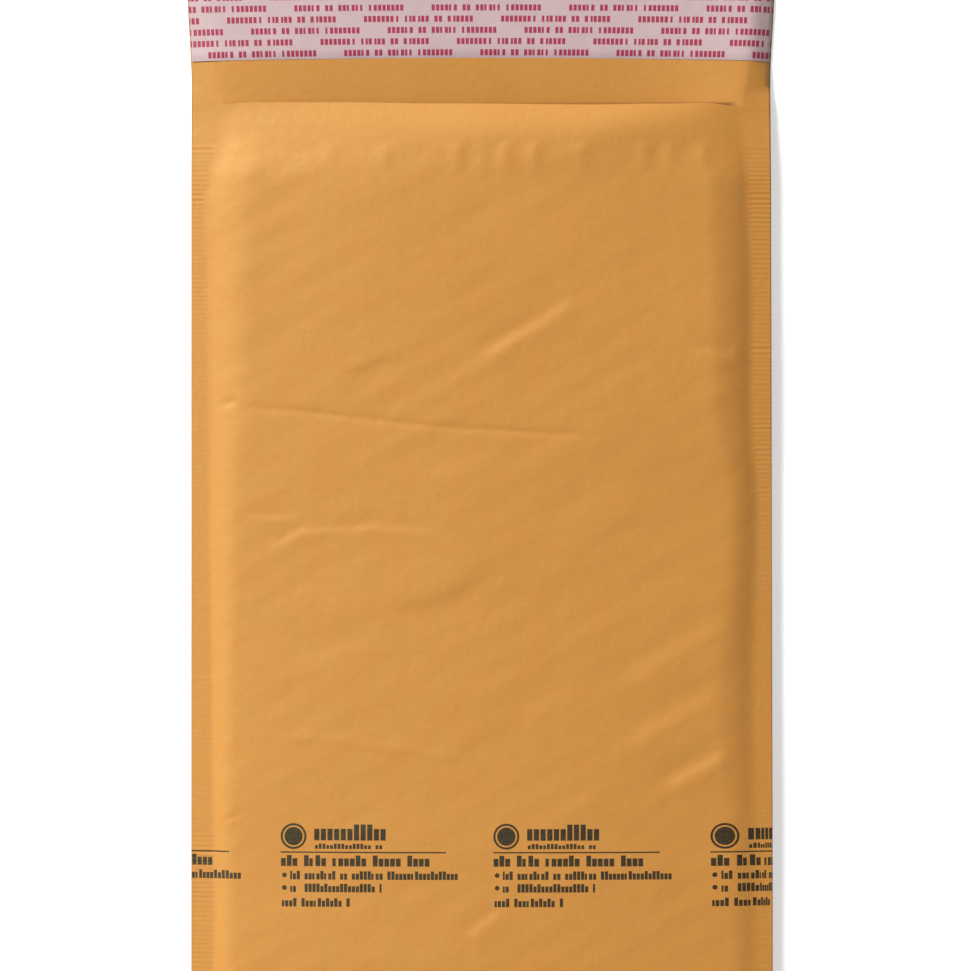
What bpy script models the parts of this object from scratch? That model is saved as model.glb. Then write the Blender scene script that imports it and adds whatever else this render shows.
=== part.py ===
"""A kraft bubble mailer that lies on its back, with its mouth open and its flap out.

Run it with: blender --background --python part.py
Metres, +Z up. X runs across the mailer and +Y from its bottom fold to its flap.
"""

import math

import bmesh
import bpy
from mathutils import Matrix, Vector

MM = 0.001

# The mailer's outside: a 7 1/4 by 12 inch bag with a flap
MAILER_WIDTH = 184.15 * MM
BODY_LENGTH = 304.8 * MM
FLAP_LENGTH = 40.0 * MM
BODY_THICKNESS = 13.6 * MM
MOUTH_HEIGHT = 9.3 * MM
FOLD_HEIGHT = 9.4 * MM

# The side seams, and the shoulders that rise from them to the flat middle
SEAM_WIDTH = 7.1 * MM
SEAM_THICKNESS = 0.9 * MM
SEAM_HEIGHT = 4.6 * MM
SHOULDER_WIDTH = 16.0 * MM
SHOULDER_POWER = 2.6

# How far from the bottom edge the fold is round, and the front then still climbs
FOLD_LENGTH = 8.0 * MM
FOLD_EASE = 26.0 * MM
FOLD_POWER = 2.0
MOUTH_POWER = 1.7

# The layers, outside in
PAPER_THICKNESS = 0.2 * MM
LINING_THICKNESS = 4.0 * MM
LAYER_GAP = 0.3 * MM
GAP_SHARE = 0.4
LINING_SHARE = 0.7
LINING_INSET = 12.6 * MM
LINING_EDGE_INSET = 0.5 * MM

# The flap springs up from the table to the height of the seams
FLAP_HEIGHT = 3.4 * MM
FLAP_RISE = 18.0 * MM
FLAP_POWER = 1.5
FLAP_DROOP = 1.0 * MM

# The adhesive on the flap, and the release liner that covers it
ADHESIVE_WIDTH = 19.0 * MM
ADHESIVE_THICKNESS = 0.2 * MM
ADHESIVE_EDGE_INSET = 3.0 * MM
LINER_WIDTH = 25.4 * MM
LINER_THICKNESS = 0.1 * MM
LINER_MARGIN = 1.5 * MM
LINER_EDGE_INSET = 0.3 * MM
STRIP_GAP = 0.1 * MM

# How finely the curved places are divided
SHOULDER_STEPS = 8
MOUTH_STEPS = 6
EASE_STEPS = 6
FOLD_STEPS = 12
RISE_STEPS = 6

# Places that follow from the sizes; Y is 0 halfway along the whole mailer
BOTTOM_Y = -(BODY_LENGTH + FLAP_LENGTH) / 2
MOUTH_Y = BOTTOM_Y + BODY_LENGTH
FLAP_END_Y = MOUTH_Y + FLAP_LENGTH
LINING_END_Y = MOUTH_Y - LINING_INSET
FOLD_END_Y = BOTTOM_Y + FOLD_LENGTH
LINER_END_Y = FLAP_END_Y - LINER_MARGIN
LINER_START_Y = LINER_END_Y - LINER_WIDTH
ADHESIVE_START_Y = LINER_START_Y + (LINER_WIDTH - ADHESIVE_WIDTH) / 2
ADHESIVE_END_Y = ADHESIVE_START_Y + ADHESIVE_WIDTH
SEAM_X = MAILER_WIDTH / 2 - SEAM_WIDTH

# The parts of the folded sheet that a line across it can belong to
FLAP, BACK, FOLD, FRONT = "flap", "back", "fold", "front"


def ease_out(t, power):
    """Climbs from 0 at t = 0 to 1 at t = 1, where it is level, and stays there."""
    t = min(max(t, 0.0), 1.0)
    return 1.0 - (1.0 - t) ** power


def steps(start, end, count):
    """Count + 1 evenly spaced values from start to end."""
    return [start + (end - start) * k / count for k in range(count + 1)]


def shoulder(x):
    """0 in a side seam and 1 on the flat middle of the bag."""
    return ease_out((SEAM_X - abs(x)) / SHOULDER_WIDTH, SHOULDER_POWER)


def front_middle(y):
    """Height of the front panel's outside along the middle of the bag."""
    climbed = ease_out((y - FOLD_END_Y) / FOLD_EASE, FOLD_POWER)
    height = FOLD_HEIGHT + (BODY_THICKNESS - FOLD_HEIGHT) * climbed
    dropped = max((y - LINING_END_Y) / LINING_INSET, 0.0) ** MOUTH_POWER
    return height - (BODY_THICKNESS - MOUTH_HEIGHT) * dropped


def middle_and_half(x, y):
    """Height of the bag's middle plane at a point, and half the bag's thickness there."""
    puffed = shoulder(x)
    low = (SEAM_HEIGHT - SEAM_THICKNESS / 2) * (1.0 - puffed)
    high = (SEAM_HEIGHT + SEAM_THICKNESS / 2) * (1.0 - puffed) + front_middle(y) * puffed
    return (low + high) / 2, (high - low) / 2


def flap_underside(x, y):
    """Height of the flap's underside, which leaves the back panel at the mouth."""
    middle, half = middle_and_half(x, MOUTH_Y)
    at_mouth = middle - half
    to_edge = max(abs(x) - SEAM_X, 0.0) / SEAM_WIDTH
    level = FLAP_HEIGHT - FLAP_DROOP * to_edge**FLAP_POWER
    return at_mouth + (level - at_mouth) * ease_out((y - MOUTH_Y) / FLAP_RISE, FLAP_POWER)


def layer_point(x, line, depth):
    """A point of a layer of the folded sheet.

    The line is one across the sheet: its part, and its Y or its angle round the fold.
    The depth is a function of half the bag's thickness, measured in from the outside.
    """
    part, value = line
    if part == FLAP:
        half = middle_and_half(x, MOUTH_Y)[1]
        return Vector((x, value, flap_underside(x, value) + depth(half)))
    if part == FOLD:
        middle, half = middle_and_half(x, FOLD_END_Y)
        inset = depth(half)
        y = BOTTOM_Y + inset + (FOLD_LENGTH - inset) * (1.0 - math.cos(value))
        return Vector((x, y, middle + (half - inset) * math.sin(value)))
    middle, half = middle_and_half(x, value)
    side = 1.0 if part == FRONT else -1.0
    return Vector((x, value, middle + side * (half - depth(half))))


def paper_outside(half):
    """The outside of the kraft paper is the outside of the bag."""
    return 0.0


def paper_inside(half):
    """The paper is as thick all over."""
    return PAPER_THICKNESS


def lining_outside(half):
    """The lining lies a small gap inside the paper, and closer in the pressed seams."""
    room = half - PAPER_THICKNESS
    return PAPER_THICKNESS + min(LAYER_GAP, GAP_SHARE * room)


def lining_inside(half):
    """The lining is as thick as its bubbles, and pressed flat where the bag is thin."""
    outside = lining_outside(half)
    return outside + min(LINING_THICKNESS, LINING_SHARE * (half - outside))


def adhesive_underside(half):
    """The adhesive lies on the flap."""
    return PAPER_THICKNESS + STRIP_GAP


def adhesive_top(half):
    """The top of the adhesive strip."""
    return adhesive_underside(half) + ADHESIVE_THICKNESS


def liner_underside(half):
    """The release liner lies on the adhesive."""
    return adhesive_top(half) + STRIP_GAP


def liner_top(half):
    """The top of the release liner."""
    return liner_underside(half) + LINER_THICKNESS


def lines_along(edge_inset):
    """X of each line along the mailer, left to right, close together on the shoulders."""
    half = steps(SEAM_X - SHOULDER_WIDTH, SEAM_X, SHOULDER_STEPS)
    half += [SEAM_X + SEAM_WIDTH / 2, MAILER_WIDTH / 2 - edge_inset]
    return [-x for x in reversed(half)] + half


def flap_lines(start, end):
    """The lines across the flap from start to end, closer together where it rises."""
    places = set(steps(MOUTH_Y, MOUTH_Y + FLAP_RISE, RISE_STEPS))
    places |= {LINER_START_Y, LINER_END_Y, ADHESIVE_START_Y, ADHESIVE_END_Y}
    inside = {y for y in places if start < y < end}
    return [(FLAP, y) for y in sorted(inside | {start, end}, reverse=True)]


def panel_lines(end):
    """Y of the lines across a panel, from the fold to the given end."""
    climb = steps(FOLD_END_Y, FOLD_END_Y + FOLD_EASE, EASE_STEPS)
    places = climb + [LINING_END_Y]
    if end > LINING_END_Y:
        places += steps(LINING_END_Y, end, MOUTH_STEPS)[1:]
    return places


def folded_lines(end):
    """The lines across a sheet folded at the bottom, from one end round to the other."""
    panel = panel_lines(end)
    back = [(BACK, y) for y in reversed(panel)]
    angles = steps(-math.pi / 2, math.pi / 2, FOLD_STEPS)[1:-1]
    return back + [(FOLD, angle) for angle in angles] + [(FRONT, y) for y in panel]


def make_material(name, colour, roughness):
    """A plain surface of one colour."""
    material = bpy.data.materials.new(name)
    material.use_nodes = True
    shader = material.node_tree.nodes["Principled BSDF"]
    shader.inputs["Base Color"].default_value = (*colour, 1.0)
    shader.inputs["Roughness"].default_value = roughness
    shader.inputs["Metallic"].default_value = 0.0
    return material


def make_sheet(name, along, across, outside, inside, material):
    """A sheet of some thickness: a flat slab of unit cells, bent to its place line by line."""
    last_column = len(along) - 1
    last_row = len(across) - 1
    to_cells = Matrix.Translation((last_column / 2, last_row / 2, 0.0))
    to_cells @= Matrix.Diagonal((last_column / 2, last_row / 2, 1.0, 1.0))
    sheet = bmesh.new()
    bmesh.ops.create_grid(
        sheet, x_segments=last_column, y_segments=last_row, size=1.0, matrix=to_cells
    )
    bmesh.ops.triangulate(sheet, faces=sheet.faces[:], quad_method="FIXED")
    bmesh.ops.solidify(sheet, geom=sheet.faces[:], thickness=1.0)
    bmesh.ops.recalc_face_normals(sheet, faces=sheet.faces[:])
    for vertex in sheet.verts:
        depth = inside if abs(vertex.co.z) > 0.5 else outside
        x = along[round(vertex.co.x)]
        vertex.co = layer_point(x, across[round(vertex.co.y)], depth)
    if sheet.calc_volume(signed=True) < 0:
        bmesh.ops.reverse_faces(sheet, faces=sheet.faces[:])
    mesh = bpy.data.meshes.new(name)
    sheet.to_mesh(mesh)
    sheet.free()
    mesh.shade_smooth()
    mesh.set_sharp_from_angle(angle=math.radians(40))
    mesh.materials.append(material)
    return bpy.data.objects.new(name, mesh)


def make_kraft_envelope():
    """One sheet of kraft paper: the flap, the back, the bottom fold and the front."""
    across = flap_lines(MOUTH_Y, FLAP_END_Y)[:-1] + folded_lines(MOUTH_Y)
    kraft = make_material("kraft_paper", (0.63, 0.36, 0.13), 0.75)
    return make_sheet(
        "kraft_envelope", lines_along(0.0), across, paper_outside, paper_inside, kraft
    )


def make_bubble_lining():
    """One sheet of bubble film, folded with the paper, whose edge stops inside the mouth."""
    film = make_material("bubble_film", (0.80, 0.83, 0.85), 0.3)
    return make_sheet(
        "bubble_lining",
        lines_along(LINING_EDGE_INSET),
        folded_lines(LINING_END_Y),
        lining_outside,
        lining_inside,
        film,
    )


def make_adhesive_strip():
    """A band of tacky adhesive across the flap."""
    adhesive = make_material("adhesive", (0.75, 0.70, 0.55), 0.4)
    return make_sheet(
        "adhesive_strip",
        lines_along(ADHESIVE_EDGE_INSET),
        flap_lines(ADHESIVE_START_Y, ADHESIVE_END_Y),
        adhesive_underside,
        adhesive_top,
        adhesive,
    )


def make_release_liner():
    """The strip that is peeled off to bare the adhesive."""
    liner = make_material("liner_paper", (0.74, 0.62, 0.62), 0.35)
    return make_sheet(
        "release_liner",
        lines_along(LINER_EDGE_INSET),
        flap_lines(LINER_START_Y, LINER_END_Y),
        liner_underside,
        liner_top,
        liner,
    )


def main():
    """Clears the scene and builds the mailer's four pieces."""
    for leftover in list(bpy.data.objects):
        bpy.data.objects.remove(leftover)
    bag = bpy.data.collections.new("bubble_mailer")
    bpy.context.scene.collection.children.link(bag)
    bag.objects.link(make_kraft_envelope())
    bag.objects.link(make_bubble_lining())
    bag.objects.link(make_adhesive_strip())
    bag.objects.link(make_release_liner())


main()
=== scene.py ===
"""The looks of a kraft bubble mailer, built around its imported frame. Metres, +Z up."""

import math

import bmesh
import bpy
import numpy as np
from mathutils import Matrix, Vector


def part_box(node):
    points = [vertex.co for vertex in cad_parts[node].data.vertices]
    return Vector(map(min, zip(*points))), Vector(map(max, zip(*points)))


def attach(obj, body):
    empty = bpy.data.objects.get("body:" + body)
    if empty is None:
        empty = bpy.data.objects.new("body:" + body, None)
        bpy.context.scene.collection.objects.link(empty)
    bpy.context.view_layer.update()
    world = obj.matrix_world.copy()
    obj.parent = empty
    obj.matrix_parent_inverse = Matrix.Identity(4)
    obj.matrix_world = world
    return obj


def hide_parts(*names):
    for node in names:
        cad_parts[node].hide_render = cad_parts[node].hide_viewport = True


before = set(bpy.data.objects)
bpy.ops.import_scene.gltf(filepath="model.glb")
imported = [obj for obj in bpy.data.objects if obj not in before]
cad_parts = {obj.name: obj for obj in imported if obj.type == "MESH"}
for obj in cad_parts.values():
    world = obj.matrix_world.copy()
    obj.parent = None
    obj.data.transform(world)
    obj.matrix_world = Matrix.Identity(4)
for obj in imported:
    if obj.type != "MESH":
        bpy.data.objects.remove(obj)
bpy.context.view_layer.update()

MM = 0.001

# The mailer's places, read from the frame
KRAFT_LOW, KRAFT_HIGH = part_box("kraft_envelope")
LINING_LOW, LINING_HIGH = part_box("bubble_lining")
LINER_LOW, LINER_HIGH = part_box("release_liner")
ADHESIVE_LOW, ADHESIVE_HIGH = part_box("adhesive_strip")
HALF_WIDTH = KRAFT_HIGH[0]
BOTTOM_Y = KRAFT_LOW[1]
FLAP_END_Y = KRAFT_HIGH[1]
BODY_THICKNESS = KRAFT_HIGH[2]
LINING_END_Y = LINING_HIGH[1]

# Sizes that the frame's boxes don't show
LINING_INSET = 12.6 * MM
MOUTH_HEIGHT = 9.3 * MM
FOLD_HEIGHT = 9.4 * MM
SEAM_WIDTH = 7.1 * MM
SEAM_THICKNESS = 0.9 * MM
SEAM_HEIGHT = 4.6 * MM
SHOULDER_WIDTH = 16.0 * MM
FOLD_LENGTH = 8.0 * MM
FOLD_EASE = 26.0 * MM
PAPER = 0.2 * MM

# The flap rises from the mouth to a low dome and flares towards its end. The dome falls by
# FLAP_DOME metres at a metre from its crown, with the square of the distance
FLAP_HEIGHT = 6.6 * MM
FLAP_RISE = 55.0 * MM
FLAP_RISE_POWER = 1.5
FLAP_CROWN_X = 8.0 * MM
FLAP_DOME = 0.5
FLAP_WAVES = 0.16 * MM
FLAP_LOWEST = 0.08 * MM
FLAP_SPREAD = 0.016
FLAP_SPREAD_START = 4.0 * MM

# The flap's sides turn down, the right one twice: where its outer part starts past the mouth, how
# fast that widens, how wide each part gets, and their slopes. The other two set in over a length
BEND_RIGHT_WIDTH = 8.0 * MM
BEND_RIGHT_SLOPE = 0.14
BEND_RIGHT_ONSET = 4.0 * MM
CURL_RIGHT_START = 2.3 * MM
CURL_RIGHT_RATE = 0.48
CURL_RIGHT_WIDTH = 5.5 * MM
CURL_RIGHT_SLOPE = 0.34
CURL_RIGHT_EASE = 0.4 * MM
CURL_LEFT_WIDTH = 8.0 * MM
CURL_LEFT_SLOPE = 0.05
CURL_LEFT_ONSET = 6.0 * MM
BEND_EASE = 1.5 * MM

# The back panel lifts at the mouth, where its edges also turn up more widely and more softly
BACK_LIFT = 2.6 * MM
BACK_LIFT_LENGTH = 34.0 * MM
BACK_EDGE_MOUTH = 44.0 * MM
BACK_EDGE_LENGTH = 40.0 * MM
BACK_EDGE_POWER = 2.6
BACK_EDGE_SOFTER = 0.6
BACK_WAVES = 0.12 * MM

MOUTH_Y = LINING_END_Y + LINING_INSET
FOLD_END_Y = BOTTOM_Y + FOLD_LENGTH
SEAM_X = HALF_WIDTH - SEAM_WIDTH
CRIMPS_END = SEAM_X - 1.6 * MM
FLAP_LENGTH = FLAP_END_Y - MOUTH_Y

# The blank: distance along the sheet from the front panel's edge, round the fold, to the flap
FRONT_RUN = MOUTH_Y - FOLD_END_Y
FOLD_RUN = 22.0 * MM
BACK_RUN = FRONT_RUN + FOLD_RUN
FLAP_RUN = BACK_RUN + FRONT_RUN
SHEET_RUN = FLAP_RUN + FLAP_LENGTH

# The bubbles: columns of rounds, each half a bubble off its neighbours. A bubble's rings are a
# radius in millimetres and a share of its height
BUBBLE_PITCH = 10.5 * MM
BUBBLE_COLUMN = BUBBLE_PITCH * math.sqrt(3) / 2
BUBBLE_RINGS = ((4.75, 0.0), (4.65, 0.45), (4.1, 0.85), (2.6, 0.98))
BUBBLE_SIDES = 12
BUBBLES_FROM_SEAM = 5.4 * MM

# The film's gap to the paper, its depth with the bubbles and its own thickness, none of them more
# than a share of the room
LINING_GAP = 0.45 * MM
LINING_GAP_SHARE = 0.4
LINING_DEPTH = 3.85 * MM
LINING_DEPTH_SHARE = 0.7
FILM_THICKNESS = 0.12 * MM
FILM_SHARE = 0.4
LINING_EDGE_INSET = 0.7 * MM

# The pressed lines in the side seams, and how far past the seams' inner edges they reach
CRIMP_REACH = 1.5 * MM
CRIMP_PITCH = 1.48 * MM
CRIMP_DEPTH = 0.085 * MM
CRIMP_CUTS = 3
CRIMP_SHARPNESS = 1.4
CRIMP_STRAY = 0.3

# How strongly the lines show on each side, at a distance below the mouth in millimetres
CRIMPS_LEFT = (
    (12, 0), (14, 1), (30, 0.95), (34, 0.4), (70, 0.35), (80, 0.15), (222, 0.15), (234, 0.7),
    (275, 0.6),
)
CRIMPS_RIGHT = (
    (12, 0), (14, 1.1), (95, 0.8), (125, 0.6), (140, 0.25), (215, 0.15), (235, 0.5), (275, 0.4),
)

# How wide each seam is, at a distance below the mouth in millimetres
SEAM_LEFT = (
    (0, 8.4), (10, 8.0), (16, 6.2), (25, 4.2), (31.5, 2.9), (38.5, 2.8), (45, 3.3), (54, 3.8),
    (95, 4.5), (126, 5.2), (190, 6.2), (250, 6.6), (275, 6.6),
)
SEAM_RIGHT = (
    (0, 8.6), (12, 7.6), (17, 6.8), (28, 6.4), (62, 5.3), (94, 5.8), (126, 3.7), (190, 4.6),
    (263, 4.0),
)

# How far the wandering of the seams' inner edges reaches inwards and past the mouth, and how much
# the bag widens towards its bottom
WANDER_REACH = 22.0 * MM
WANDER_PAST_MOUTH = 10.0 * MM
BOTTOM_FLARE = 0.6 * MM
BOTTOM_FLARE_FROM_MOUTH = 260.0

# How far the front panel's edge strays along Y, at an X in millimetres, and how that fades
LIP_FADE = 9.0 * MM
LIP_LINE = (
    (-86, -0.2), (-76, 0.4), (-45, 0.2), (-13, -0.3), (35, -0.7), (60, -0.35), (72, 0.0),
    (81, -0.8), (86, -1.2),
)

# How dark the painted shadow inside the mouth is, laid along the fold line, at an X in millimetres
MOUTH_SHADE_LINE = (
    (-84, 0), (-79, 0.9), (-66, 0.7), (-62, 0.25), (2, 0.25), (12, 0.5), (48, 0.6), (56, 1),
    (80, 1), (83, 0),
)

# The bag's left and right sides, at a distance below the mouth in millimetres: the width of the
# hollow beside the seam, the share of the climb to the crown that is a rounded edge, and that
# edge's width. A larger power makes the edge start steeper
HOLLOW_WIDTHS = (
    ((0, 6), (30, 4.0), (95, 3.8), (126, 2.6), (190, 1.8), (275, 2.4)),
    ((0, 5), (16, 3.0), (62, 2.6), (94, 2.4), (126, 3.0), (190, 3.6), (275, 3.8)),
)
EDGE_SHARES = (
    ((0, 0), (8, 0.05), (24, 0.32), (60, 0.35), (126, 0.32), (190, 0.27), (275, 0.22)),
    (
        (0, 0), (8, 0.03), (28, 0.44), (60, 0.52), (95, 0.52), (126, 0.36), (190, 0.34),
        (240, 0.2), (275, 0.15),
    ),
)
EDGE_WIDTHS = (
    ((0, 18), (16, 12.5), (80, 11), (126, 8), (200, 6.5), (275, 5.5)),
    (
        (0, 20), (10, 16), (24, 12), (95, 11.5), (126, 6.4), (190, 9.5), (240, 7),
        (275, 5.2),
    ),
)
EDGE_POWERS = (2.0, 1.6)
SIDES_MEET = 40.0 * MM

# The mouth's crown lies to the right of the middle, and the shift fades out further down
CROWN_SHIFT = 40.0 * MM
CROWN_LENGTH = 32.0 * MM

# Slack in the bag: the front lies a little under the box's top, and the seams tilt and wander,
# and dip and get thinner at the mouth
FRONT_SLACK = 1.2 * MM
SEAM_WANDER = 0.3 * MM
SEAM_THINNER = 0.4
SEAM_LEVEL = 4.1 * MM
SEAM_SKEW = 0.8 * MM
SEAM_TILT_LEFT = 0.125
SEAM_TILT_RIGHT = 0.18
SEAM_TILT_EASE = 5.0 * MM
SEAM_DIP_LEFT = 1.8 * MM
SEAM_DIP_RIGHT = 1.6 * MM
SEAM_DIP_LENGTH = 26.0 * MM
MOUTH_DROP_POWER = 2.2

# Cell sizes of the paper's mesh, across and then along, and of the film's
BODY_CELL = 2.4 * MM
SEAM_CELL = 2.2 * MM
SHOULDER_CELL = 1.8 * MM
MOUTH_CELL = 1.0 * MM
FOLD_CELL = 1.4 * MM
BACK_ROWS_SKIPPED = 4
BACK_MOUTH_CELL = 1.8 * MM
FLAP_CELL = 2.0 * MM
FILM_BODY_CELL = 5.0 * MM
FILM_SEAM_CELL = 3.2 * MM
FILM_SHOULDER_CELL = 1.5 * MM
FILM_FRONT_CELL = 2.4 * MM
FILM_BACK_CELL = 4.0 * MM

# Lines of the mesh beside the seams' inner edges, in millimetres from outside to inside
SEAM_LINES = (0.7, 0.0, -0.6, -1.2, -2.1, -3.1, -4.2)

# Creases in the front panel, as points (X, distance below the mouth's edge) in millimetres,
# with a kind, a height and a width. A step rises towards the bottom of the mailer.
CREASES = (
    (((-82, 95.5), (-56, 98), (-12, 103), (41, 106)), "valley", 0.24, 1.0),
    (((-75, 131), (-58, 132)), "step", 0.10, 0.8),
    (((-69, 143), (-57, 135.8), (-33, 134.6), (-12, 136.2)), "step", 0.14, 0.9),
    (((-2, 81.5), (14, 72.5), (31, 61.5)), "step", 0.30, 1.7),
    (((58, 217), (78, 205.5)), "step", 0.30, 1.8),
    (((44, 204), (77, 185)), "step", 0.22, 2.3),
    (((42, 185), (78, 163.5)), "step", 0.20, 2.5),
    (((-31, 160), (-17, 158.5), (1.5, 151)), "step", -0.20, 2.0),
    (((-75, 200), (-43, 202.5), (2.5, 209)), "ridge", 0.10, 1.6),
    (((-42, 86.5), (-28, 80)), "step", -0.14, 1.3),
    (((-7, 38), (7, 31.5)), "valley", 0.14, 2.4),
    (((68, 78), (80, 81)), "step", 0.18, 1.0),
    (((-5, 264.5), (6.5, 255.5)), "step", 0.18, 1.3),
    (((-86, 230.5), (-74, 224)), "valley", 0.12, 0.9),
    (((49, 87), (54, 98)), "valley", 0.16, 2.2),
    (((-85, 97), (-77, 94)), "valley", 0.24, 1.1),
    (((-20, 118), (6, 112)), "step", 0.14, 2.4),
    (((20, 136), (52, 120)), "step", 0.14, 2.8),
    (((-60, 180), (-30, 168)), "step", 0.12, 2.4),
    (((10, 196), (34, 184)), "step", 0.14, 2.4),
)

# A crease no wider than this gets smaller cells, out to a number of its widths and a margin
SHARP_WIDTH = 1.8
CREASE_WIDTHS = 2.0
CREASE_MARGIN = 0.5

# The first row of bubbles inside the mouth, as X and height in millimetres, their width, and
# between which distances below the mouth the mesh has smaller cells for them
FIRST_ROW = (
    (-70, 0.08), (-48, 0.16), (-30.5, 0.20), (-7.3, 0.30), (0.6, 0.16), (7.7, 0.30),
    (16.9, 0.34), (32, 0.30), (51.5, 0.32), (59.8, 0.30), (70.3, 0.26),
)
FIRST_ROW_WIDTH = 2.4
FIRST_ROW_NEAR = 11.0
FIRST_ROW_FAR = 25.0

# Where the relief and the first row set in, where the row fades, and over what lengths
RELIEF_FROM = 8.5
RELIEF_LENGTH = 8.0
FIRST_ROW_FROM = 10.8
FIRST_ROW_RISE = 4.2
FIRST_ROW_TO = 24.5
FIRST_ROW_FADE = 8.5

# The front panel's unevenness, in millimetres: bubbles that show through, faint slanted wrinkles
# (cells along and across the slant, height and seed), and broad swells
BUBBLES_SHOW = 0.036
BUBBLES_SHOW_SIDE = 0.016
SLANT_COS = 0.857
SLANT_SIN = 0.515
WRINKLES = ((15.0, 5.6, 0.065, 5), (6.0, 2.8, 0.022, 7))
SWELLS = 0.20
EVERYWHERE = 0.05
RELIEF_STEEPNESS = 2.6


def ease_out(t, power):
    """Climbs from 0 at t = 0 to 1 at t = 1, where it is level, and stays there."""
    return 1.0 - (1.0 - np.clip(t, 0.0, 1.0)) ** power


def smooth(t):
    """A smooth climb from 0 at t = 0 to 1 at t = 1."""
    t = np.clip(t, 0.0, 1.0)
    return t * t * (3.0 - 2.0 * t)


def soft_noise(x, y, cell_x, cell_y, seed):
    """Smooth random heights from -1 to 1, with hills about a cell across."""
    values = np.random.default_rng(seed).uniform(-1.0, 1.0, (128, 128))
    column = x / cell_x + 40.0
    row = y / cell_y + 40.0
    i = np.floor(column).astype(int)
    j = np.floor(row).astype(int)
    u = smooth(column - i)
    v = smooth(row - j)
    i %= 127
    j %= 127
    near = values[i, j] * (1 - u) + values[i + 1, j] * u
    far = values[i, j + 1] * (1 - u) + values[i + 1, j + 1] * u
    return near * (1 - v) + far * v


def crease_relief(x, below):
    """The height that the creases add, for X and distance below the mouth, in millimetres."""
    total = np.zeros_like(x)
    for points, kind, height, width in CREASES:
        nearest = np.full_like(x, 1e9)
        offset = np.zeros_like(x)
        along = np.zeros_like(x)
        lengths = [math.dist(a, b) for a, b in zip(points, points[1:])]
        done = 0.0
        for (ax, ay), (bx, by), length in zip(points, points[1:], lengths):
            dx, dy = (bx - ax) / length, (by - ay) / length
            t = np.clip((x - ax) * dx + (below - ay) * dy, 0.0, length)
            away_x = x - ax - t * dx
            away_y = below - ay - t * dy
            distance = np.hypot(away_x, away_y)
            side = np.sign(away_y * abs(dx) - away_x * dy * np.sign(dx))
            closer = distance < nearest
            nearest = np.where(closer, distance, nearest)
            offset = np.where(closer, side * distance, offset)
            along = np.where(closer, (done + t) / sum(lengths), along)
            done += length
        fade = smooth(np.minimum(along, 1.0 - along) * 4.0 + 0.12)
        fade *= smooth(1.6 - nearest / (6.0 * width))
        if kind == "valley":
            shape = -np.exp(-np.abs(nearest / width) ** 1.3)
        elif kind == "ridge":
            shape = np.exp(-((nearest / width) ** 2))
        else:
            shape = np.tanh(offset / width) * np.exp(-((offset / (4.0 * width)) ** 2))
        total += height * shape * fade
    return total


def front_relief(x, y):
    """What the bubbles, the creases and handling add to the front panel's height."""
    x_mm = x / MM
    below = (MOUTH_Y - y) / MM
    lined = smooth((below - RELIEF_FROM) / RELIEF_LENGTH)
    pitch = BUBBLE_PITCH / MM
    column = BUBBLE_COLUMN / MM
    wave_up = np.cos(2 * math.pi * (0.5 * x_mm / column + below / pitch))
    wave_down = np.cos(2 * math.pi * (0.5 * x_mm / column - below / pitch))
    wave_side = np.cos(2 * math.pi * x_mm / column)
    along = SLANT_COS * x_mm - SLANT_SIN * below
    beside = SLANT_SIN * x_mm + SLANT_COS * below
    patches = 0.5 + 0.5 * soft_noise(x_mm, below, 21.0, 17.0, 3)
    relief = BUBBLES_SHOW * patches * wave_up
    relief += BUBBLES_SHOW_SIDE * (wave_down + wave_side) * (1.2 - patches)
    for cell_along, cell_beside, height, seed in WRINKLES:
        relief += height * soft_noise(along, beside, cell_along, cell_beside, seed)
    relief += SWELLS * soft_noise(x_mm, below, 33.0, 27.0, 11)
    relief += crease_relief(x_mm, below)
    rise = smooth((below - FIRST_ROW_FROM) / FIRST_ROW_RISE)
    fade = smooth((FIRST_ROW_TO - below) / FIRST_ROW_FADE)
    for centre, height in FIRST_ROW:
        hump = np.exp(-(((x_mm - centre) / FIRST_ROW_WIDTH) ** 2))
        relief += height * hump * rise * fade
    return relief * lined * MM + EVERYWHERE * MM * soft_noise(x_mm, below, 18.0, 9.0, 13)


def through(points, value):
    """A smooth curve through listed points."""
    value = np.asarray(value, dtype=float)
    result = np.full_like(value, points[0][1])
    for (start, low), (end, high) in zip(points, points[1:]):
        between = low + (high - low) * smooth((value - start) / (end - start))
        result = np.where(value >= start, between, result)
    return result


def across(x, y):
    """X of a point of the blank, moved so that the seams' inner edges wander as they do."""
    below = (MOUTH_Y - y) / MM
    left = through(SEAM_LEFT, below) * MM - SEAM_WIDTH
    right = through(SEAM_RIGHT, below) * MM - SEAM_WIDTH
    shift = np.where(x < 0, left, -right)
    from_edge = (HALF_WIDTH - np.abs(x)) / SEAM_WIDTH
    from_seam = 1.0 - (SEAM_X - np.abs(x)) / WANDER_REACH
    share = np.clip(np.minimum(from_edge, from_seam), 0.0, 1.0)
    share = share * smooth(1.0 - (y - MOUTH_Y) / WANDER_PAST_MOUTH)
    flare = BOTTOM_FLARE * np.clip(below / BOTTOM_FLARE_FROM_MOUTH, 0.0, 1.0)
    return x + shift * share + np.where(x > 0, flare, 0.0) * np.abs(x) / HALF_WIDTH


def rounded_start(distance, width):
    """A distance that starts slowly over a width, so that what it drives starts level."""
    distance = np.maximum(distance, 0.0)
    return np.where(distance < width, distance ** 2 / (2 * width), distance - width / 2)


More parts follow.
